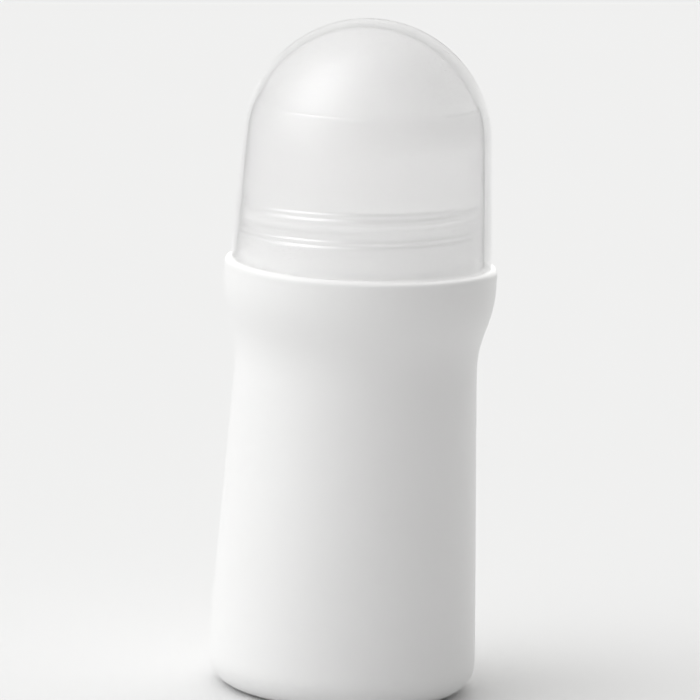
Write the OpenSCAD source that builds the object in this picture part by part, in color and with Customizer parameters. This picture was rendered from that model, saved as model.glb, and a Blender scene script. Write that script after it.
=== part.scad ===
// Roll-on bottle: a moulded bottle with a waisted wall, a snap-in ball housing,
// a hollow welded ball and a clear dome cap that seats on the shoulder ledge.
// The axis is +Z and the origin is the middle of the foot, on the table.

/* [Bottle] */
// Height of the shoulder ledge that the cap seats on
ledge_z = 69.3; // [60:0.1:80]
// Largest radius of the wall, just above the foot corner
foot_r = 21.6; // [20:0.1:24]
// Radius of the rounded foot corner
foot_corner = 4.9; // [3:0.1:6.5]
// Lean of the wall towards the waist, in degrees
wall_lean = 2.7; // [1:0.1:3.2]
// Height from the waist, where the wall stops leaning in, to the ledge
flare_h = 18; // [14:0.1:22]
// Height of the upright band under the ledge
shoulder_h = 2.5; // [1.6:0.1:4]
// Length of the curve handle that leaves the waist
waist_pull = 7.8; // [4:0.1:9]
// Length of the curve handle that reaches the shoulder
shoulder_pull = 7; // [4:0.1:9]
// Width of the ledge that shows outside the cap
ledge_w = 1; // [0.8:0.05:2.5]
// Rounding of the shoulder's upper edge
rim_round = 0.9; // [0.3:0.05:1.4]
// Thickness of the bottle wall
wall = 1.3; // [0.8:0.05:2]
// Rise of the hollow under the base
push_up = 1.8; // [0.8:0.1:3]
// Width of the flat ring that the bottle stands on
foot_ring_w = 1.5; // [0.8:0.1:3]
// Fillet inside the shoulder and at its turn into the neck
inner_fillet = 1.2; // [0.6:0.1:1.6]

/* [Neck] */
// Height of the neck above the ledge
neck_h = 10.8; // [8.5:0.1:13]
// Thickness of the neck wall
neck_wall = 1.2; // [0.8:0.05:1.6]
// Room between the neck and the cap's skirt, for the screw thread
thread_room = 1.1; // [0.8:0.05:1.5]
// Chamfer on the neck's upper outer edge
neck_chamfer = 0.4; // [0.2:0.05:0.6]

/* [Ball] */
// Radius of the ball, the standard 1.4 inch size
ball_r = 17.78; // [16:0.01:20]
// Wall of the hollow ball
ball_wall = 1.8; // [1.2:0.1:3]
// Height of the ball's centre above the neck
ball_rise = 8.2; // [7:0.1:9.5]
// Height of the tongue that locates the two halves
tongue_h = 1.2; // [0.6:0.1:2]

/* [Housing] */
// Gap between the ball and the collar that holds it
ball_gap = 0.15; // [0.1:0.01:0.25]
// Gap between the ball and the feed cup below the flange
film_gap = 0.3; // [0.2:0.01:0.4]
// Gap between the ball and its seat ring
seat_gap = 0.05; // [0.03:0.01:0.1]
// Wall of the collar round the ball
collar_wall = 0.67; // [0.5:0.01:1]
// Wall of the feed cup under the ball
cup_wall = 0.75; // [0.5:0.05:1]
// Height of the retaining lip above the ball's centre
lip_rise = 5.95; // [4.5:0.05:7]
// Thickness of the flange on top of the neck
flange_h = 1.5; // [1:0.1:2]
// Length of the plug inside the neck
plug_h = 6.5; // [5:0.1:7.5]
// Wall of the plug
plug_wall = 0.9; // [0.6:0.05:1.2]
// Depth of the snap groove in the neck
snap_depth = 0.3; // [0.15:0.05:0.4]
// Angle of the seat ring below the ball's middle, in degrees
seat_angle = 44; // [38:1:50]
// Radius of the central feed opening
feed_r = 5.2; // [3:0.1:6]
// Radius of each feed port round it
port_r = 1.3; // [0.8:0.05:1.5]
// Number of feed ports
ports = 6; // [4:1:8]
// Number of ribs that centre the ball in the feed cup
guide_ribs = 12; // [6:1:16]

/* [Cap] */
// Wall of the cap below its inner step
cap_wall = 0.95; // [0.8:0.05:1.4]
// Extra thickness of the dome above the inner step
dome_extra = 0.5; // [0.3:0.05:0.9]
// Draft of the cap's skirt, in degrees
cap_draft = 2.9; // [1:0.1:3.5]
// Height of the bevel on the inner step
step_bevel = 1; // [0.5:0.1:2]
// Gap between the cap and what stands inside it
cap_gap = 0.25; // [0.2:0.01:0.4]
// Gap between the cap's inner step and the housing's lip
step_gap = 0.3; // [0.2:0.01:0.5]

/* [Hidden] */
$fn = 96;
// Overrun of every cut past the face that it opens
over = 1;
// Radial play of the plug in the neck, and of the tongue in its groove
fit_gap = 0.04;
// Points along the shoulder curve
curve_steps = 18;
// Points along a rounded corner
corner_steps = 8;

// Heights of the main stations on the axis
neck_top = ledge_z + neck_h;
ball_z = neck_top + ball_rise;
flange_top = neck_top + flange_h;
step_z = ball_z + lip_rise + step_gap;

// Radii worked outwards from the ball
collar_in = ball_r + ball_gap;
collar_r = collar_in + collar_wall;
cup_in = ball_r + film_gap;
cup_r = cup_in + cup_wall;
cap_in = collar_r + cap_gap;
cap_r = cap_in + cap_wall;
dome_in = cap_in - dome_extra;

// Radius of a drafted skirt that meets a dome of radius r, at height z
function skirt_r(r, z) = r / cos(cap_draft) + (ball_z - z) * tan(cap_draft);

// Radii that fit inside the cap's skirt
flange_r = skirt_r(cap_in, flange_top) - cap_gap;
neck_r = skirt_r(cap_in, neck_top) - thread_room;
neck_in = neck_r - neck_wall;
plug_r = neck_in - fit_gap;

// Radii of the bottle
shoulder_r = skirt_r(cap_r, ledge_z) + ledge_w;
corner_x = foot_r - foot_corner;
waist_z = ledge_z - flare_h;
shoulder_z = ledge_z - shoulder_h;
wall_foot = [corner_x, foot_corner] + foot_corner * [cos(wall_lean), sin(wall_lean)];
waist_r = wall_foot[0] - (waist_z - wall_foot[1]) * tan(wall_lean);
push_a = corner_x - foot_ring_w;
push_r = (push_a * push_a + push_up * push_up) / (2 * push_up);

// Curve points: a cubic through four handles, its heading and its right-hand side
function cubic(h, t) = pow(1 - t, 3) * h[0] + 3 * pow(1 - t, 2) * t * h[1]
    + 3 * (1 - t) * t * t * h[2] + pow(t, 3) * h[3];
function heading(h, t) = pow(1 - t, 2) * (h[1] - h[0])
    + 2 * (1 - t) * t * (h[2] - h[1]) + t * t * (h[3] - h[2]);
function right_of(v) = [v[1], -v[0]] / norm(v);
function arc(c, r, from, to) =
    [for (i = [0 : corner_steps]) c + r * [cos(from + (to - from) * i / corner_steps),
                                           sin(from + (to - from) * i / corner_steps)]];

// The shoulder curve, from the waist up to the upright band
waist = [waist_r, waist_z];
shoulder = [shoulder_r, shoulder_z];
flare = [waist, waist + waist_pull * [-sin(wall_lean), cos(wall_lean)],
         shoulder - [0, shoulder_pull], shoulder];
function flare_side(inset) =
    [for (i = [0 : curve_steps])
        cubic(flare, i / curve_steps) - inset * right_of(heading(flare, i / curve_steps))];

// A solid turned round the axis from the outline drawn by its children
module turned() {
    rotate_extrude() children();
}

// The half plane right of the axis, between two heights
module band(z0, z1, r = foot_r + shoulder_r) {
    translate([0, z0]) square([r, z1 - z0]);
}

// A disc outline centred on the ball
module round_outline(r) {
    translate([0, ball_z]) circle(r = r);
}

// The outline of a skirt and dome, filled, from height z0 to z1
module dome_outline(r, z0, z1) {
    tangent_z = ball_z + r * sin(cap_draft);
    polygon([[0, z0], [skirt_r(r, z0), z0], [r * cos(cap_draft), tangent_z], [0, tangent_z]]);
    intersection() {
        round_outline(r);
        band(tangent_z, z1);
    }
}

module bottle_outside() {
    polygon(concat(
        [[0, 0]],
        arc([corner_x, foot_corner], foot_corner, -90, wall_lean),
        flare_side(0),
        arc([shoulder_r - rim_round, ledge_z - rim_round], rim_round, 0, 90),
        arc([neck_r + rim_round / 2, ledge_z + rim_round / 2], rim_round / 2, -90, -180),
        [[neck_r, neck_top - neck_chamfer], [neck_r - neck_chamfer, neck_top], [0, neck_top]]
    ));
}

module bottle_inside() {
    roof_z = ledge_z - wall;
    difference() {
        polygon(concat(
            [[0, wall]],
            arc([corner_x, foot_corner], foot_corner - wall, -90, wall_lean),
            flare_side(wall),
            arc([shoulder_r - wall - inner_fillet, roof_z - inner_fillet], inner_fillet, 0, 90),
            arc([neck_in + inner_fillet, roof_z + inner_fillet], inner_fillet, -90, -180),
            [[neck_in, neck_top + over], [0, neck_top + over]]
        ));
        translate([0, push_up - push_r]) circle(r = push_r + wall);
    }
}

snap_z = neck_top - plug_h / 2;

module bottle_body() {
    color("white") turned() difference() {
        bottle_outside();
        bottle_inside();
        translate([0, push_up - push_r]) circle(r = push_r);
        translate([neck_in, snap_z]) circle(r = snap_depth);
        translate([-foot_r, -over]) square([foot_r, neck_top + 2 * over]);
    }
}

// The housing's walls, before its ribs are added and its ports are drilled
module housing_outline() {
    difference() {
        union() {
            // Collar and flange, with the lip drawn in over the ball
            dome_ring();
            band(neck_top, flange_top, flange_r);
            // Feed cup, kept inside the plug
            intersection() {
                round_outline(cup_r);
                band(ball_z - cup_r, neck_top, plug_r);
            }
            // Plug with its snap bead
            band(neck_top - plug_h, neck_top, plug_r);
            translate([plug_r, snap_z]) circle(r = snap_depth - fit_gap);
        }
        // Ball space, wider below the flange
        intersection() {
            round_outline(collar_in);
            band(flange_top, ball_z + cap_r);
        }
        intersection() {
            round_outline(cup_in);
            band(ball_z - cup_in, flange_top);
        }
        // Room between the plug and the feed cup
        difference() {
            band(neck_top - plug_h - over, neck_top - plug_wall, plug_r - plug_wall);
            round_outline(cup_r);
        }
        band(ball_z - cup_r - over, ball_z, feed_r);
    }
}

// The collar's outer form: a straight barrel, then round the ball to the lip
module dome_ring() {
    band(neck_top, ball_z, collar_r);
    intersection() {
        round_outline(collar_r);
        band(ball_z, ball_z + lip_rise);
    }
}

// The seat ring: a bead on the feed cup that the ball seals on
seat_bead = (cup_in - ball_r) + cup_wall / 2 - seat_gap;
module seat_outline() {
    reach = (ball_r + seat_gap + seat_bead / 2);
    intersection() {
        translate([reach * cos(seat_angle), ball_z - reach * sin(seat_angle)]) circle(r = seat_bead / 2);
        round_outline(cup_r);
    }
}

// One guide rib, a thin slice of the film gap from above the seat ring to the top of the neck
rib_angle = 3;
module guide_rib() {
    rotate([0, 0, -rib_angle / 2]) rotate_extrude(angle = rib_angle) intersection() {
        difference() {
            round_outline(cup_in + cup_wall / 2);
            round_outline(collar_in);
        }
        band(ball_z - collar_in * sin(seat_angle - rib_angle), neck_top);
    }
}

port_circle = (feed_r + (ball_r + seat_gap) * cos(seat_angle)) / 2;

module ball_housing() {
    color("whitesmoke") difference() {
        union() {
            turned() {
                housing_outline();
                seat_outline();
            }
            for (i = [0 : guide_ribs - 1])
                rotate([0, 0, i * 360 / guide_ribs]) guide_rib();
        }
        for (i = [0 : ports - 1])
            rotate([0, 0, i * 360 / ports]) translate([port_circle, 0, ball_z - cup_r - over])
                cylinder(r = port_r, h = cup_r);
    }
}

// Radius halfway through the ball's wall, where tongue and groove meet
tongue_r = ball_r - ball_wall / 2;

module ball_upper_shell() {
    color("gainsboro") turned() {
        difference() {
            round_outline(ball_r);
            round_outline(ball_r - ball_wall);
            band(ball_z - ball_r - over, ball_z);
            translate([-ball_r, 0]) square([ball_r, ball_z + 2 * ball_r]);
        }
        translate([tongue_r - ball_wall / 2, ball_z - tongue_h])
            square([ball_wall / 2 - fit_gap, tongue_h]);
    }
}

module ball_lower_shell() {
    color("gainsboro") turned() difference() {
        round_outline(ball_r);
        round_outline(ball_r - ball_wall);
        band(ball_z, ball_z + ball_r + over);
        translate([0, ball_z - tongue_h - fit_gap]) square([tongue_r, tongue_h + over]);
        translate([-ball_r, 0]) square([ball_r, ball_z + 2 * ball_r]);
    }
}

module cap() {
    color("aliceblue", 0.6) turned() difference() {
        dome_outline(cap_r, ledge_z, ball_z + cap_r);
        // Skirt and the space round the housing, up to the inner step
        intersection() {
            dome_outline(cap_in, ledge_z - over, step_z);
            band(ledge_z - over, step_z);
        }
        // Bevel of the step, and the dome over the ball
        polygon([
            [0, step_z], [chord(cap_in, step_z), step_z],
            [chord(dome_in, step_z + step_bevel), step_z + step_bevel], [0, step_z + step_bevel]
        ]);
        intersection() {
            round_outline(dome_in);
            band(step_z + step_bevel, ball_z + dome_in);
        }
    }
}

// Radius at height z of a sphere of radius r round the ball's centre
function chord(r, z) = sqrt(r * r - (z - ball_z) * (z - ball_z));

bottle_body();
ball_housing();
ball_upper_shell();
ball_lower_shell();
cap();
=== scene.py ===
import math

import bpy
from mathutils import Euler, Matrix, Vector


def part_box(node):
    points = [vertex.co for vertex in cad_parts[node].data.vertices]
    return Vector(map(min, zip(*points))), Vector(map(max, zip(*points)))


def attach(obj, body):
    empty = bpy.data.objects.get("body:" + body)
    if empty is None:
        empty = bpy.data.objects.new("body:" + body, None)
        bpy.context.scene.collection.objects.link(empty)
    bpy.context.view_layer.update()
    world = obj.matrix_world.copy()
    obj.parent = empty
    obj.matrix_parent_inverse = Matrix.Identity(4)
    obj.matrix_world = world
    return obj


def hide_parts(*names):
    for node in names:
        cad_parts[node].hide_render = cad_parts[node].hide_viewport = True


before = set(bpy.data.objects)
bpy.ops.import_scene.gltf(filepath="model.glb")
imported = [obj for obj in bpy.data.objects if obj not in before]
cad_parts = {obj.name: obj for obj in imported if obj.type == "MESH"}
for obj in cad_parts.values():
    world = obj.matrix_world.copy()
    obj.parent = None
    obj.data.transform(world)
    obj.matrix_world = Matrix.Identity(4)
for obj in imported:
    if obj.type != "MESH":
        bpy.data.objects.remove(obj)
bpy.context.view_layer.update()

MM = 0.001

# Stations and radii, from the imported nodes
cap_low, cap_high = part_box("cap")
ball_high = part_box("ball_upper_shell")[1]
ledge_z = cap_low.z
ball_r = ball_high.x
ball_z = ball_high.z - ball_r
dome_r = cap_high.z - ball_z

# The cap's moulding. Its draft and wall are the part's, and its dome is a little thinner
CAP_DRAFT = math.radians(2.9)
CAP_WALL = 0.95 * MM
DOME_EXTRA = 0.35 * MM
CAP_IN = dome_r - CAP_WALL
DOME_IN = CAP_IN - DOME_EXTRA

# The step inside the cap, counted from the ball's middle, and the polished bead on its edge
STEP_RISE = 6.1 * MM
STEP_BEVEL = 0.5 * MM
BEAD_WIDTH = 0.40 * MM
BEAD_HEIGHT = 0.08 * MM

# The core stands off centre, and leans further over the lowest quarter of the dome's inside
CORE_SHIFT = 0.2 * MM
DOME_LEAN = 0.25 * MM
LEAN_SHARE = 0.25

# The rim's edges are rounded off by three points. The middle one lies at this share of the rounding
RIM_ROUND = 0.18 * MM
RIM_MIDDLE = 0.3

# The cap's mesh: points nearer than this are one, columns round it, and rows of each part
SAME_POINT = 1e-5 * MM
COLUMNS = 180
LIP_ROWS = 2
SKIRT_ROWS = 16
DOME_ROWS = 48
BEAD_ROWS = 8
SHOULDER_ROWS = 10
BARREL_ROWS = 4

# Angles count from the right-hand side, anticlockwise as seen from above
FRONT = math.radians(270)

# The screw thread: height of a turn, where it passes the front, and how slowly its ends run out
PITCH = 4.25 * MM
THREAD_FRONT_Z = 74.85 * MM
THREAD_FADE = math.radians(40)

# The cap's thread is a ridge on its inner wall, from the right-hand side up two turns
THREAD_START = math.radians(-25)
THREAD_TURNS = 2.0

# The part of the inner wall whose rows follow the thread, and the rows in each turn
THREAD_LOW = ledge_z + 1.0 * MM
THREAD_HIGH = ledge_z + 12.5 * MM
ROWS_PER_TURN = 32

# The ridge's section: distance below its middle and height, in mm. It has two saw teeth
RIDGE = [(-1.7, 0.0), (-0.62, 0.24), (-0.26, 0.05), (0.22, 0.27), (0.70, 0.0)]

# On the right the ridge is this share as high. The angles are degrees from the front to the right
SHALLOW_SHARE = 0.25
SHALLOW_FROM = -10
SHALLOW_TO = 150
SHALLOW_FADE = 30

# Polish of the threaded wall, and the step from row to row at which a tooth has the full polish
WALL_POLISH = 0.35
FLANK_STEP = 0.05 * MM

# How much of the inner side's look each part of the cap has
OUTSIDE, INSIDE, IN_DOME, IN_THREAD = 0.0, 1.0, 0.8, 0.85

# The crown is the top of the dome, where the outer side's edge is painted dark. It sets in between
# these shares of the dome's height
CROWN_LOW = 0.36
CROWN_HIGH = 0.76

# The thread on the neck lies in the groove above the cap's ridge
NECK_R = 18.19 * MM
NECK_RIDGE_H = 0.75 * MM
NECK_RIDGE_W = 1.4 * MM
NECK_RIDGE_SHIFT = 2.0 * MM
NECK_START = math.radians(60)
NECK_TURNS = 1.5
NECK_STEPS = 420
NECK_SIDES = 10

# How full its section is, and how deep its edges and its back lie in the wall
NECK_FULLNESS = 0.8
NECK_SINK = 0.1 * MM
NECK_BACK = 0.5 * MM

# Meshes are smooth but for edges sharper than these
CAP_SHARP = math.radians(40)
NECK_SHARP = math.radians(50)

# Looks of the cap's outer and inner sides: each face on, edge on, and how late it turns. The
# colour's edge-on value is painted shade, a dark line at the limb
OUTER = {"haze": (0.06, 1.00, 4.0), "gloss": (0.022, 0.10, 5.0), "color": (0.985, 0.30, 8.0)}
INNER = {"haze": (0.65, 1.00, 2.5), "gloss": (0.035, 0.10, 5.0), "color": (0.985, 0.30, 5.0)}
OUTER_ROUGH = 0.10
INNER_ROUGH = 0.12

# The inner side's painted dark line is paler edge on in the dome, and the barrel is painted greyer
# all over, as painted shade
DOME_PAINTED_LINE = 0.60
BARREL_PAINTED_SHADE = 0.90

# Gloss that fully polished faces have besides
POLISH_GLOSS = 0.12

# Light that the cap's wall takes up, per metre
CAP_ABSORB = 26.0

# Share of its light that thin plastic takes from behind
MILKY_THROUGH = 0.5
DOME_THROUGH = 0.76
NECK_THROUGH = 0.15

# The bottle's neck lets light through. This sets in between these heights above the ledge
NECK_LOW = 0.2 * MM
NECK_HIGH = 2.0 * MM

# Finishes, as noise: cycles a metre, detail, and the share of those cycles along X, Y and Z
FLOW_MARKS = (420.0, 3.0, (1.0, 1.0, 0.12))
MIST = (130.0, 2.0)
HOUSING_GRAIN = (300.0, 3.0)
BALL_GRAIN = (500.0, 1.5, (1.0, 1.0, 0.3))
PEEL = (900.0, 3.0)
WAVES = (70.0, 1.0)
CLOUDS = (55.0, 3.0)
BLOWN_POLISH = (260.0, 3.0)
FIBRES = (700.0, 3.0)

# Depth of each finish, and how much deeper the coarse noise is than the fine one
CAP_SKIN = 0.003 * MM
MILKY_SKIN = 0.004 * MM
BOTTLE_SKIN = 0.003 * MM
FLOOR_SKIN = 0.01 * MM
MIST_DEPTH = 3.0
WAVE_DEPTH = 6.0

# Factors by which the noise changes the cap's roughness and haze
CAP_ROUGH_BY_FLOW = (0.8, 1.2)
HAZE_BY_FLOW = (0.94, 1.06)
HAZE_BY_MIST = (0.95, 1.05)

# Roughness, from its lowest to its highest
BOTTLE_ROUGH = (0.29, 0.41)
HOUSING_ROUGH = (0.24, 0.36)
BALL_ROUGH = (0.18, 0.30)
FLOOR_ROUGH = (0.85, 0.95)

# The two near shades that the noise mixes
BOTTLE_TONES = ((0.791, 0.790, 0.786), (0.809, 0.810, 0.808))
NECK_TONES = ((0.85, 0.85, 0.85), (0.87, 0.87, 0.87))
HOUSING_TONES = ((0.914, 0.914, 0.910), (0.926, 0.926, 0.924))
BALL_TONES = ((0.906, 0.906, 0.904), (0.914, 0.914, 0.914))
FLOOR_TONES = ((0.694, 0.694, 0.694), (0.706, 0.706, 0.706))

# Share of gloss on the ball and the housing
MILKY_GLOSS = 0.03

# The paper under the bottle, from its middle to its edge
FLOOR_REACH = 3.0

# The photograph's camera. The axis at AIM_Z lies right of the picture's middle and below it
PHOTO_SIDE = 700
SENSOR = 36.0
CAMERA_AWAY = 905 * MM
CAMERA_RISE = math.radians(10.145)
CAMERA_ROLL = math.radians(2.888)
PIXELS_PER_MM = 6.25
AIM_Z = 53 * MM
AXIS_RIGHT_PX = 6.8
AIM_DOWN_PX = 11.1

# The studio's light: azimuth from the camera's side, right positive, elevation, tightness, strength
KEY_GLOWS = [(-78, 42, 8, 1.9), (-65, 60, 8, 0.87), (-95, 60, 8, 0.23)]
FILL_GLOWS = [(170, 5, 6, 1.85), (180, 60, 4, 0.95), (-60, 5, 6, 0.88)]
FILL_BASE = 0.27

# The key light is a touch cooler than the light that fills its shadows
KEY_TINT = (0.994, 1.0, 1.008)
FILL_TINT = (1.006, 1.0, 0.986)


def ramp(x, start, end):
    """A smooth rise from 0 at start to 1 at end. It may run backwards, with start above end."""
    t = min(max((x - start) / (end - start), 0.0), 1.0)
    return t * t * (3 - 2 * t)


def span(a, b, n):
    """Values from a to b in n even steps."""
    return [a + (b - a) * i / n for i in range(n + 1)]


def skirt_radius(r, z):
    """Radius at height z of the drafted skirt below a dome of radius r."""
    return r / math.cos(CAP_DRAFT) + (ball_z - z) * math.tan(CAP_DRAFT)


def skirt(r, z0, z1, n):
    """Radii and heights of the skirt below a dome of radius r."""
    return [(skirt_radius(r, z), z) for z in span(z0, z1, n)]


def dome(r, a0, a1, n):
    """Radii and heights of a dome round the ball's middle, between angles above it."""
    return [(max(r * math.cos(a), 0.0), ball_z + r * math.sin(a)) for a in span(a0, a1, n)]


def helix_z(angle, shift=0.0):
    """Height of the thread's line at an angle, which counts on from turn to turn."""
    return THREAD_FRONT_Z + shift + PITCH * (angle - FRONT) / (2 * math.pi)


def fade(along, total):
    """A thread runs out at both of its ends."""
    return ramp(along, 0.0, THREAD_FADE) * ramp(total - along, 0.0, THREAD_FADE)


def ridge_share(angle):
    """The ridge is full on the left and the front and shallow on the right."""
    from_front = (math.degrees(angle - FRONT) + 180) % 360 - 180
    sets_in = ramp(from_front, SHALLOW_FROM, SHALLOW_FROM + SHALLOW_FADE)
    ends = ramp(from_front, SHALLOW_TO, SHALLOW_TO - SHALLOW_FADE)
    return 1 - (1 - SHALLOW_SHARE) * sets_in * ends


def ridge_height(below):
    """Height of the ridge's section at a distance below its middle."""
    for (d0, h0), (d1, h1) in zip(RIDGE, RIDGE[1:]):
        if d0 * MM <= below < d1 * MM:
            return (h0 + (h1 - h0) * ramp(below / MM, d0, d1)) * MM
    return 0.0


def cap_ridge(z, a):
    """How far the cap's ridge stands in from the wall at height z and angle a."""
    total = THREAD_TURNS * 2 * math.pi
    along = (a - THREAD_START) % (2 * math.pi)
    best = 0.0
    while along <= total:
        height = ridge_height(helix_z(THREAD_START + along) - z)
        best = max(best, height * fade(along, total) * ridge_share(THREAD_START + along))
        along += 2 * math.pi
    return best


def bead(r, angle):
    """Points of a small round bead on the inner wall, at an angle above the ball's middle."""
    points = []
    for t in span(-1.0, 1.0, BEAD_ROWS):
        a = angle - t * BEAD_WIDTH / 2 / r
        q = r - BEAD_HEIGHT * math.cos(t * math.pi / 2) ** 2
        points.append((q * math.cos(a), ball_z + q * math.sin(a)))
    return points


def rim():
    """The cap's lower edge, from the inner wall to the outer one."""
    inner = skirt_radius(CAP_IN, ledge_z)
    outer = skirt_radius(dome_r, ledge_z)
    middle = RIM_ROUND * RIM_MIDDLE
    return [
        (inner + middle, ledge_z + middle),
        (inner + RIM_ROUND, ledge_z),
        (outer - RIM_ROUND, ledge_z),
        (outer - middle, ledge_z + middle),
    ]


def cap_section():
    """The cap's section, from the inner wall below the thread round the rim and over the dome, and
    down inside to the top of the thread. Each part has a side, a polish, and radii and heights."""
    step = math.asin(STEP_RISE / CAP_IN)
    bevel = math.asin((STEP_RISE + STEP_BEVEL) / DOME_IN)
    bend = math.sin(CAP_DRAFT)
    lip = skirt(CAP_IN, THREAD_LOW, ledge_z + RIM_ROUND, LIP_ROWS)
    outer_skirt = skirt(dome_r, ledge_z + RIM_ROUND, ball_z + dome_r * bend, SKIRT_ROWS)
    outer_dome = dome(dome_r, CAP_DRAFT, math.pi / 2, DOME_ROWS)
    shoulder = dome(CAP_IN, step - BEAD_WIDTH / CAP_IN, CAP_DRAFT, SHOULDER_ROWS)
    barrel = skirt(CAP_IN, ball_z + CAP_IN * bend, THREAD_HIGH, BARREL_ROWS)
    return [
        (INSIDE, 0.0, lip),
        (OUTSIDE, 0.0, rim() + outer_skirt + outer_dome[1:]),
        (IN_DOME, 0.0, dome(DOME_IN, math.pi / 2, bevel, DOME_ROWS)),
        (INSIDE, 1.0, bead(CAP_IN, step)),
        (INSIDE, 0.0, shoulder + barrel[1:]),
    ]


def section_ring(r, z, side):
    """A row of points round the cap. Its inside stands off centre, a little more in the dome."""
    shift = 0.0
    if side != OUTSIDE:
        dome_low = ball_z + STEP_RISE + STEP_BEVEL
        shift = CORE_SHIFT + DOME_LEAN * ramp(z, dome_low, dome_low + LEAN_SHARE * DOME_IN)
    turns = [2 * math.pi * k / COLUMNS for k in range(COLUMNS)]
    return [(r * math.cos(a) - shift, r * math.sin(a), z) for a in turns]


def thread_point(row, column):
    """A point of the threaded wall. The rows climb with the thread, so past the last column a row
    goes on as the row one turn higher."""
    row += ROWS_PER_TURN * (column // COLUMNS)
    a = 2 * math.pi * (column % COLUMNS) / COLUMNS
    turns = (row - ROWS_PER_TURN) / ROWS_PER_TURN + a / (2 * math.pi)
    z = min(max(THREAD_LOW + PITCH * turns, THREAD_LOW), THREAD_HIGH)
    r = skirt_radius(CAP_IN, z) - cap_ridge(z, a)
    return (r * math.cos(a) - CORE_SHIFT, r * math.sin(a), z)


def thread_polish(low_edge, high_edge, column):
    """The undersides of the ridge's teeth are polished, where the ridge is full."""
    step = math.hypot(*low_edge[:2]) - math.hypot(*high_edge[:2])
    share = ridge_share(2 * math.pi * column / COLUMNS)
    full = max(share - SHALLOW_SHARE, 0.0) / (1 - SHALLOW_SHARE)
    return WALL_POLISH + (1 - WALL_POLISH) * ramp(step, 0.0, FLANK_STEP) * full


def add_piece(name, verts, faces, sharp):
    """A new object in the scene, smooth but for its sharp edges."""
    mesh = bpy.data.meshes.new(name)
    mesh.from_pydata(verts, [], faces)
    mesh.update()
    mesh.shade_smooth()
    mesh.set_sharp_from_angle(angle=sharp)
    piece = bpy.data.objects.new(name, mesh)
    bpy.context.scene.collection.objects.link(piece)
    return piece


def make_cap():
    """One closed moulding, with the numbers that its material reads from each face."""
    index, verts, faces = {}, [], []
    values = {"inside": [], "in_dome": [], "crown": [], "polish": []}

    def vert(point):
        key = tuple(round(v / SAME_POINT) for v in point)
        if key not in index:
            index[key] = len(verts)
            verts.append(point)
        return index[key]

    def face(side, polish, *points):
        ring = []
        for point in points:
            i = vert(point)
            if i not in ring:
                ring.append(i)
        if len(ring) > 2:
            faces.append(tuple(ring))
            values["inside"].append(side)
            values["in_dome"].append(1.0 if side == IN_DOME else 0.0)
            height = (points[0][2] - ball_z) / dome_r
            values["crown"].append(ramp(height, CROWN_LOW, CROWN_HIGH))
            values["polish"].append(polish)

    def row(side, polish, low, high):
        for k in range(COLUMNS):
            j = (k + 1) % COLUMNS
            face(side, polish, low[k], low[j], high[j], high[k])

    last = None
    for side, polish, points in cap_section():
        rings = [section_ring(r, z, side) for r, z in points]
        if last:
            row(INSIDE, 0.0, last, rings[0])
        for low, high in zip(rings, rings[1:]):
            row(side, polish, low, high)
        last = rings[-1]
    rows = int((THREAD_HIGH - THREAD_LOW) / PITCH * ROWS_PER_TURN) + ROWS_PER_TURN + 1
    for i in range(rows):
        for k in range(COLUMNS):
            low, high = thread_point(i, k), thread_point(i + 1, k)
            polish = thread_polish(low, high, k)
            next_low, next_high = thread_point(i, k + 1), thread_point(i + 1, k + 1)
            face(IN_THREAD, polish, low, high, next_high, next_low)
    piece = add_piece("cap_moulding", verts, faces, CAP_SHARP)
    for name, numbers in values.items():
        piece.data.attributes.new(name, "FLOAT", "FACE").data.foreach_set("value", numbers)
    return piece


def make_neck_thread():
    """A rounded helical ridge, swept round the neck and faded out at both ends."""
    verts, faces = [], []
    total = NECK_TURNS * 2 * math.pi
    for along in span(0.0, total, NECK_STEPS):
        a = NECK_START + along
        rise = NECK_RIDGE_H * fade(along, total)
        section = []
        for t in span(0.0, 1.0, NECK_SIDES):
            hump = math.sin(math.pi * t)
            section.append((NECK_R + rise * hump ** NECK_FULLNESS - NECK_SINK * (1 - hump), t))
        section += [(NECK_R - NECK_BACK, 1.0), (NECK_R - NECK_BACK, 0.0)]
        for r, t in section:
            z = helix_z(a, NECK_RIDGE_SHIFT) + NECK_RIDGE_W * (0.5 - t)
            verts.append((r * math.cos(a), r * math.sin(a), z))
    ring = NECK_SIDES + 3
    for i in range(NECK_STEPS):
        for j in range(ring):
            k = (j + 1) % ring
            faces.append((i * ring + j, i * ring + k, (i + 1) * ring + k, (i + 1) * ring + j))
    faces.append(tuple(reversed(range(ring))))
    faces.append(tuple(range(NECK_STEPS * ring, (NECK_STEPS + 1) * ring)))
    return add_piece("neck_thread", verts, faces, NECK_SHARP)


def feed(tree, socket, value):
    """Give a socket a number, or link another socket to it."""
    if isinstance(value, (int, float)):
        socket.default_value = value
    else:
        tree.links.new(value, socket)


def math_node(tree, operation, *values):
    node = tree.nodes.new("ShaderNodeMath")
    node.operation = operation
    for socket, value in zip(node.inputs, values):
        feed(tree, socket, value)
    return node.outputs[0]


def times(tree, a, b):
    return math_node(tree, "MULTIPLY", a, b)


def plus(tree, a, b):
    return math_node(tree, "ADD", a, b)


def blend(tree, share, a, b):
    """A value from a to b as share goes from 0 to 1."""
    node = tree.nodes.new("ShaderNodeMix")
    for i, value in ((0, share), (2, a), (3, b)):
        feed(tree, node.inputs[i], value)
    return node.outputs[0]


def mix_shader(tree, share, a, b):
    node = tree.nodes.new("ShaderNodeMixShader")
    for socket, value in zip(node.inputs, (share, a, b)):
        feed(tree, socket, value)
    return node.outputs[0]


def two_tone(tree, share, tones):
    """A colour between two near shades."""
    node = tree.nodes.new("ShaderNodeMix")
    node.data_type = "RGBA"
    tree.links.new(share, node.inputs[0])
    node.inputs[6].default_value = (*tones[0], 1)
    node.inputs[7].default_value = (*tones[1], 1)
    return node.outputs[2]


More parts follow.
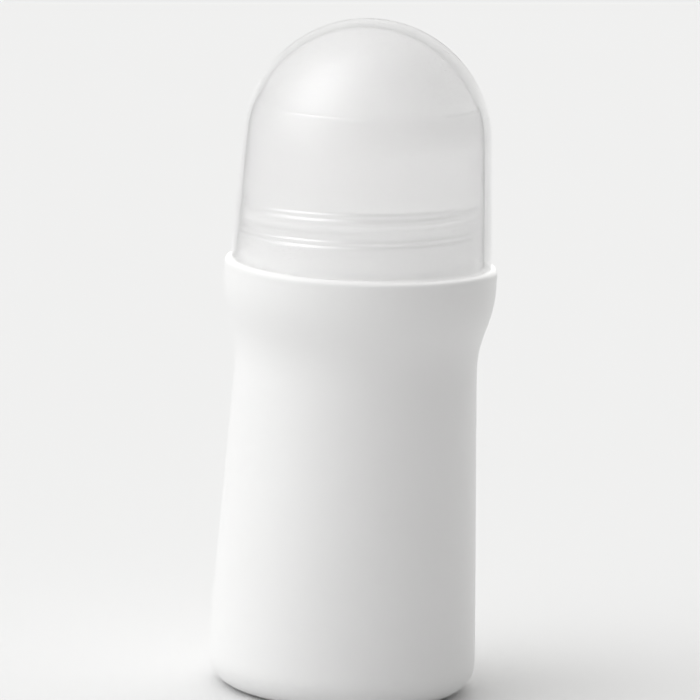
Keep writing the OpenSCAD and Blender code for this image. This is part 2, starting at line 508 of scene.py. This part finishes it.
def grain(tree, scale, detail, along=(1.0, 1.0, 1.0)):
    """Noise from 0 to 1 that stays on the piece. Its scale is in cycles a metre."""
    place = tree.nodes.new("ShaderNodeTexCoord")
    fit = tree.nodes.new("ShaderNodeMapping")
    fit.inputs["Scale"].default_value = along
    noise = tree.nodes.new("ShaderNodeTexNoise")
    noise.inputs["Scale"].default_value = scale
    noise.inputs["Detail"].default_value = detail
    tree.links.new(place.outputs["Object"], fit.inputs["Vector"])
    tree.links.new(fit.outputs["Vector"], noise.inputs["Vector"])
    return noise.outputs["Fac"]


def spread(tree, share, low, high):
    """A value from low to high as noise goes from 0 to 1."""
    return plus(tree, times(tree, share, high - low), low)


def relief(tree, height, depth):
    """The normal of a surface whose height varies by about depth metres."""
    bump = tree.nodes.new("ShaderNodeBump")
    bump.inputs["Strength"].default_value = 1.0
    bump.inputs["Distance"].default_value = depth
    tree.links.new(height, bump.inputs["Height"])
    return bump.outputs["Normal"]


def by_tilt(tree, tilt, face_on, edge_on, power):
    """A value that goes from face_on to edge_on as the surface turns away."""
    return blend(tree, math_node(tree, "POWER", tilt, power), face_on, edge_on)


def transparent(tree):
    node = tree.nodes.new("ShaderNodeBsdfTransparent")
    node.inputs["Color"].default_value = (1, 1, 1, 1)
    return node.outputs[0]


def glossy(tree, rough, normal):
    node = tree.nodes.new("ShaderNodeBsdfGlossy")
    node.inputs["Color"].default_value = (1, 1, 1, 1)
    tree.links.new(rough, node.inputs["Roughness"])
    tree.links.new(normal, node.inputs["Normal"])
    return node.outputs[0]


def lit_both_sides(tree, color, share, normal):
    """Thin hazy plastic. It takes this share of its light from behind."""
    front = tree.nodes.new("ShaderNodeBsdfDiffuse")
    through = tree.nodes.new("ShaderNodeBsdfTranslucent")
    for node in (front, through):
        tree.links.new(color, node.inputs["Color"])
        tree.links.new(normal, node.inputs["Normal"])
    return mix_shader(tree, share, front.outputs[0], through.outputs[0])


def let_light_by(tree, shader, where=1.0):
    """Shadow rays and scattered rays go straight on through, so what stands behind is lit."""
    path = tree.nodes.new("ShaderNodeLightPath")
    shadow, scattered = path.outputs["Is Shadow Ray"], path.outputs["Is Diffuse Ray"]
    straight = times(tree, math_node(tree, "MAXIMUM", shadow, scattered), where)
    return mix_shader(tree, straight, shader, transparent(tree))


def empty_material(name):
    mat = bpy.data.materials.new(name)
    mat.use_nodes = True
    mat.node_tree.nodes.remove(mat.node_tree.nodes["Principled BSDF"])
    return mat


def principled_material(name):
    mat = bpy.data.materials.new(name)
    mat.use_nodes = True
    return mat, mat.node_tree, mat.node_tree.nodes["Principled BSDF"]


def face_number(tree, name):
    """A number that the mesh keeps on each face."""
    node = tree.nodes.new("ShaderNodeAttribute")
    node.attribute_name = name
    return node.outputs["Fac"]


def cap_color_and_painted_shade(tree, tilt, inside):
    """The film's colour, with painted shade in it. The barrel is painted greyer than the dome, with
    a stronger painted dark line at its limb. The outline is painted dark round the crown alone."""
    in_dome = face_number(tree, "in_dome")
    face_on, edge_on, power = INNER["color"]
    inner = by_tilt(tree, tilt, face_on, blend(tree, in_dome, edge_on, DOME_PAINTED_LINE), power)
    face_on, edge_on, power = OUTER["color"]
    crown = blend(tree, face_number(tree, "crown"), face_on, edge_on)
    outer = by_tilt(tree, tilt, face_on, crown, power)
    # Painted shade: the barrel's inner side is darkened all over
    barrel = times(tree, inside, math_node(tree, "SUBTRACT", 1.0, in_dome))
    return times(tree, blend(tree, inside, outer, inner), blend(tree, barrel, 1.0, BARREL_PAINTED_SHADE))


def cap_material():
    """Hazy clear plastic. The wall is thin, so what is inside shows straight through it."""
    mat = empty_material("cap_plastic")
    tree = mat.node_tree
    facing = tree.nodes.new("ShaderNodeLayerWeight")
    facing.inputs["Blend"].default_value = 0.5
    tilt = facing.outputs["Facing"]
    inside = face_number(tree, "inside")

    def both(key):
        outer, inner = by_tilt(tree, tilt, *OUTER[key]), by_tilt(tree, tilt, *INNER[key])
        return blend(tree, inside, outer, inner)

    # Flow marks run up the wall from the rim, and the haze and the polish vary a little
    flow = grain(tree, *FLOW_MARKS)
    mist = grain(tree, *MIST)
    skin = relief(tree, plus(tree, flow, times(tree, mist, MIST_DEPTH)), CAP_SKIN)
    share = blend(tree, face_number(tree, "in_dome"), MILKY_THROUGH, DOME_THROUGH)
    # The film's colour holds painted shade: dark lines edge on and a greyer barrel
    film = lit_both_sides(tree, cap_color_and_painted_shade(tree, tilt, inside), share, skin)
    haze = times(tree, both("haze"), spread(tree, flow, *HAZE_BY_FLOW))
    haze = times(tree, haze, spread(tree, mist, *HAZE_BY_MIST))
    wall = mix_shader(tree, math_node(tree, "MINIMUM", haze, 1.0), transparent(tree), film)
    rough = blend(tree, inside, OUTER_ROUGH, INNER_ROUGH)
    rough = times(tree, rough, spread(tree, flow, *CAP_ROUGH_BY_FLOW))
    gloss = plus(tree, both("gloss"), times(tree, face_number(tree, "polish"), POLISH_GLOSS))
    wall = mix_shader(tree, gloss, wall, glossy(tree, rough, skin))
    absorb = tree.nodes.new("ShaderNodeVolumeAbsorption")
    absorb.inputs["Color"].default_value = (0.0, 0.0, 0.0, 1)
    absorb.inputs["Density"].default_value = CAP_ABSORB
    out = tree.nodes["Material Output"]
    tree.links.new(let_light_by(tree, wall), out.inputs["Surface"])
    tree.links.new(absorb.outputs[0], out.inputs["Volume"])
    return mat


def milky_material(name, tones, rough, noise):
    """Unpigmented plastic, which lets light through its thin wall."""
    mat = empty_material(name)
    tree = mat.node_tree
    marks = grain(tree, *noise)
    skin = relief(tree, marks, MILKY_SKIN)
    film = lit_both_sides(tree, two_tone(tree, marks, tones), MILKY_THROUGH, skin)
    gloss = glossy(tree, spread(tree, marks, *rough), skin)
    body = mix_shader(tree, MILKY_GLOSS, film, gloss)
    tree.links.new(let_light_by(tree, body), tree.nodes["Material Output"].inputs["Surface"])
    return mat


def neck_share(tree):
    """0 on the bottle's outside and 1 on its neck, under the cap."""
    place = tree.nodes.new("ShaderNodeTexCoord")
    height = tree.nodes.new("ShaderNodeSeparateXYZ")
    tree.links.new(place.outputs["Object"], height.inputs[0])
    share = tree.nodes.new("ShaderNodeMapRange")
    share.interpolation_type = "SMOOTHSTEP"
    share.inputs["From Min"].default_value = ledge_z + NECK_LOW
    share.inputs["From Max"].default_value = ledge_z + NECK_HIGH
    tree.links.new(height.outputs["Z"], share.inputs["Value"])
    return share.outputs["Result"]


def bottle_material():
    """White pigmented plastic with a satin skin. The neck is thin enough to let light through."""
    mat, tree, bsdf = principled_material("bottle_plastic")
    # The pigment is very slightly uneven, and the polish varies as on a blown wall
    clouds = grain(tree, *CLOUDS)
    tree.links.new(two_tone(tree, clouds, BOTTLE_TONES), bsdf.inputs["Base Color"])
    rough = spread(tree, grain(tree, *BLOWN_POLISH), *BOTTLE_ROUGH)
    tree.links.new(rough, bsdf.inputs["Roughness"])
    # Fine orange peel lies over a faint waviness, as on a moulding
    waves = times(tree, grain(tree, *WAVES), WAVE_DEPTH)
    skin = relief(tree, plus(tree, waves, grain(tree, *PEEL)), BOTTLE_SKIN)
    tree.links.new(skin, bsdf.inputs["Normal"])
    on_neck = neck_share(tree)
    neck = lit_both_sides(tree, two_tone(tree, clouds, NECK_TONES), NECK_THROUGH, skin)
    body = let_light_by(tree, mix_shader(tree, on_neck, bsdf.outputs[0], neck), on_neck)
    tree.links.new(body, tree.nodes["Material Output"].inputs["Surface"])
    return mat


def floor_material():
    """Matt white paper with a fine tooth."""
    mat, tree, bsdf = principled_material("floor_paper")
    bsdf.inputs["Specular IOR Level"].default_value = 0.0
    fibres = grain(tree, *FIBRES)
    tree.links.new(two_tone(tree, fibres, FLOOR_TONES), bsdf.inputs["Base Color"])
    tree.links.new(spread(tree, fibres, *FLOOR_ROUGH), bsdf.inputs["Roughness"])
    tree.links.new(relief(tree, fibres, FLOOR_SKIN), bsdf.inputs["Normal"])
    return mat


def dress(obj, mat):
    obj.data.materials.clear()
    obj.data.materials.append(mat)


def make_floor():
    sides = [(-1, -1), (1, -1), (1, 1), (-1, 1)]
    corners = [(x * FLOOR_REACH, y * FLOOR_REACH, 0) for x, y in sides]
    mesh = bpy.data.meshes.new("floor")
    mesh.from_pydata(corners, [], [(0, 1, 2, 3)])
    floor = bpy.data.objects.new("floor", mesh)
    bpy.context.scene.collection.objects.link(floor)
    dress(floor, floor_material())


def make_camera():
    """The photograph's camera. Its small turns put the bottle where the photograph has it."""
    focal_px = PIXELS_PER_MM * CAMERA_AWAY / MM
    data = bpy.data.cameras.new("photo_camera")
    data.sensor_width = SENSOR
    data.lens = SENSOR * focal_px / PHOTO_SIDE
    cam = bpy.data.objects.new("photo_camera", data)
    bpy.context.scene.collection.objects.link(cam)
    back = CAMERA_AWAY * math.cos(CAMERA_RISE)
    up = CAMERA_AWAY * math.sin(CAMERA_RISE)
    cam.location = (0, -back, AIM_Z + up)
    tip = math.atan(AIM_DOWN_PX / focal_px)
    pitch = Euler((math.pi / 2 - CAMERA_RISE + tip, 0, 0)).to_quaternion()
    turn = Euler((0, 0, math.atan(AXIS_RIGHT_PX / focal_px))).to_quaternion()
    roll = Euler((0, 0, CAMERA_ROLL)).to_quaternion()
    cam.rotation_mode = "QUATERNION"
    cam.rotation_quaternion = turn @ pitch @ roll
    bpy.context.scene.camera = cam


def studio_light(tree, way, glows, total, tint):
    """Light of one tint from all round: an even base, and broad glows in it."""
    for azimuth, elevation, tight, strength in glows:
        a, e = math.radians(azimuth), math.radians(elevation)
        dot = tree.nodes.new("ShaderNodeVectorMath")
        dot.operation = "DOT_PRODUCT"
        tree.links.new(way, dot.inputs[0])
        dot.inputs[1].default_value = (
            math.sin(a) * math.cos(e), -math.cos(a) * math.cos(e), math.sin(e))
        off = math_node(tree, "SUBTRACT", dot.outputs["Value"], 1.0)
        glow = math_node(tree, "EXPONENT", times(tree, off, tight))
        total = plus(tree, times(tree, glow, strength), total)
    back = tree.nodes.new("ShaderNodeBackground")
    back.inputs["Color"].default_value = (*tint, 1)
    tree.links.new(total, back.inputs["Strength"])
    return back.outputs[0]


def make_world():
    world = bpy.data.worlds.new("studio")
    bpy.context.scene.world = world
    world.use_nodes = True
    tree = world.node_tree
    tree.nodes.remove(tree.nodes["Background"])
    way = tree.nodes.new("ShaderNodeTexCoord").outputs["Generated"]
    both = tree.nodes.new("ShaderNodeAddShader")
    tree.links.new(studio_light(tree, way, KEY_GLOWS, 0.0, KEY_TINT), both.inputs[0])
    tree.links.new(studio_light(tree, way, FILL_GLOWS, FILL_BASE, FILL_TINT), both.inputs[1])
    tree.links.new(both.outputs[0], tree.nodes["World Output"].inputs["Surface"])


white = bottle_material()
housing_white = milky_material("housing_plastic", HOUSING_TONES, HOUSING_ROUGH, HOUSING_GRAIN)
ball_white = milky_material("ball_plastic", BALL_TONES, BALL_ROUGH, BALL_GRAIN)
dress(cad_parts["bottle_body"], white)
dress(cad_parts["ball_housing"], housing_white)
dress(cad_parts["ball_upper_shell"], ball_white)
dress(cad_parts["ball_lower_shell"], ball_white)

cap = make_cap()
dress(cap, cap_material())
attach(cap, "cap")
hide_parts("cap")

neck_thread = make_neck_thread()
dress(neck_thread, white)
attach(neck_thread, "bottle")

make_floor()
make_camera()
make_world()

bpy.context.scene.view_settings.view_transform = "Standard"
# A line of sight goes through many thin walls
bpy.context.scene.cycles.transparent_max_bounces = 32
# The denoiser's other passes gave the hazy dome a false grain, so it works on colour alone
bpy.context.scene.cycles.use_denoising = True
bpy.context.scene.cycles.denoising_input_passes = "RGB"
